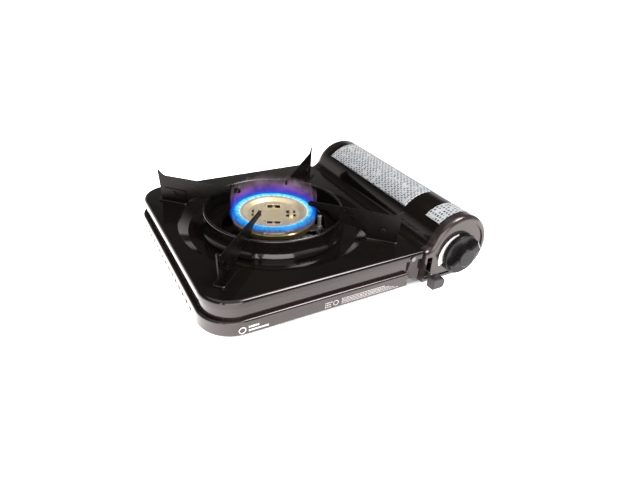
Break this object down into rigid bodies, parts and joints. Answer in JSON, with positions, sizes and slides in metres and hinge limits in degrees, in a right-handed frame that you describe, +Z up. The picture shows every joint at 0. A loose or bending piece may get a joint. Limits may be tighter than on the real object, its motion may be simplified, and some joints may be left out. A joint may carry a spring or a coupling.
{
  "type": "portable gas camping stove",
  "caption": "Flat portable gas stove with a ported burner in a wind ring, upright pan-support fins, a round canister bay under a hinged lid, a gas knob and a canister lock lever.",
  "frame": {"origin": "under the middle of the whole object's box, on the surface that the feet stand on", "axes": "+Z up, -Y towards the side with the knob, +X towards the canister bay"},
  "size_m": [0.342, 0.303, 0.088],
  "materials": {
    "black_enamel": "glossy vitreous enamel",
    "brown_paint": "glossy dark brown paint",
    "panel_paint": "glossy dark brown paint",
    "ring_enamel": "satin black enamel",
    "fin_enamel": "satin black enamelled steel",
    "gold_burner": "pale gold, satin",
    "brass_fitting": "machined",
    "zinc_sheet": "zinc-plated sheet",
    "bright_steel": "turned steel",
    "tube_steel": "aluminised tube",
    "die_cast": "die-cast, as cast",
    "knob_plastic": "fine matte black",
    "lever_plastic": "dark purplish grey",
    "igniter_plastic": "ivory",
    "foot_rubber": "matte black",
    "seal_rubber": "nitrile",
    "wire_cover": "silicone sleeve",
    "insulator_white": "glazed white",
    "sticker_silver": null
  },
  "bodies": {
    "base": {"base_tub": "brown_paint", "top_plate": "black_enamel", "rim_screws": "bright_steel", "front_panel": "panel_paint", "panel_screws": "zinc_sheet", "rear_cap": "brown_paint", "heat_shield": "zinc_sheet", "feet": "foot_rubber", "foot_screws": "zinc_sheet", "burner_bowl": "gold_burner", "port_ring": "gold_burner", "burner_disc": "gold_burner", "burner_bracket": "zinc_sheet", "mixing_tube": "tube_steel", "jet_holder": "brass_fitting", "gas_jet": "brass_fitting", "gas_pipe": "brass_fitting", "pipe_elbow": "brass_fitting", "regulator_body": "die_cast", "diaphragm_base": "die_cast", "diaphragm_cover": "zinc_sheet", "diaphragm_screws": "zinc_sheet", "canister_socket": "bright_steel", "nozzle_seal": "seal_rubber", "piezo_igniter": "igniter_plastic", "piezo_plunger": "igniter_plastic", "piezo_bracket": "zinc_sheet", "igniter_wire": "wire_cover", "electrode_insulator": "insulator_white", "igniter_electrode": "bright_steel", "electrode_bracket": "zinc_sheet", "canister_cradle": "zinc_sheet", "rear_stop": "zinc_sheet", "hinge_pins": "bright_steel", "lever_bracket": "zinc_sheet", "lever_pivot": "bright_steel", "clamp_studs": "bright_steel"},
    "lid": {"canister_lid": "black_enamel", "long_sticker": "sticker_silver", "short_sticker": "sticker_silver"},
    "knob": {"knob": "knob_plastic", "knob_spindle": "bright_steel", "igniter_cam": "igniter_plastic"},
    "lock_lever": {"lever_arm": "zinc_sheet", "crank_pin": "bright_steel", "lever_tab": "lever_plastic"},
    "clamp": {"clamp_slide": "zinc_sheet"},
    "pan_support": {"wind_ring": "ring_enamel", "fin_front_left": "fin_enamel", "fin_front_right": "fin_enamel", "fin_back_left": "fin_enamel", "fin_back_right": "fin_enamel", "fin_feet": "fin_enamel", "fin_rivets": "fin_enamel"}
  },
  "joints": [
    {"name": "lid_hinge", "type": "hinge", "parent": "base", "child": "lid", "pos_m": [0.1638, 0, 0.0195], "axis": [0, 1, 0], "range_deg": [0, 100]},
    {"name": "knob_turn", "type": "hinge", "parent": "base", "child": "knob", "pos_m": [0.13, -0.143, 0.037], "axis": [0, -1, 0], "range_deg": [-117, 12]},
    {"name": "lever_pivot", "type": "hinge", "parent": "base", "child": "lock_lever", "pos_m": [0.088, -0.0925, 0.022], "axis": [-1, 0, 0], "range_deg": [0, 19]},
    {"name": "clamp_travel", "type": "slide", "parent": "base", "child": "clamp", "axis": [0, 1, 0], "range_m": [0, 0.006]},
    {"name": "pan_support_lift", "type": "slide", "parent": "base", "child": "pan_support", "axis": [0, 0, 1], "range_m": [0, 0.08]}
  ],
  "couplings": [
    {"joint": "clamp_travel", "follows": "lever_pivot", "m_per_rad": 0.0177}
  ]
}
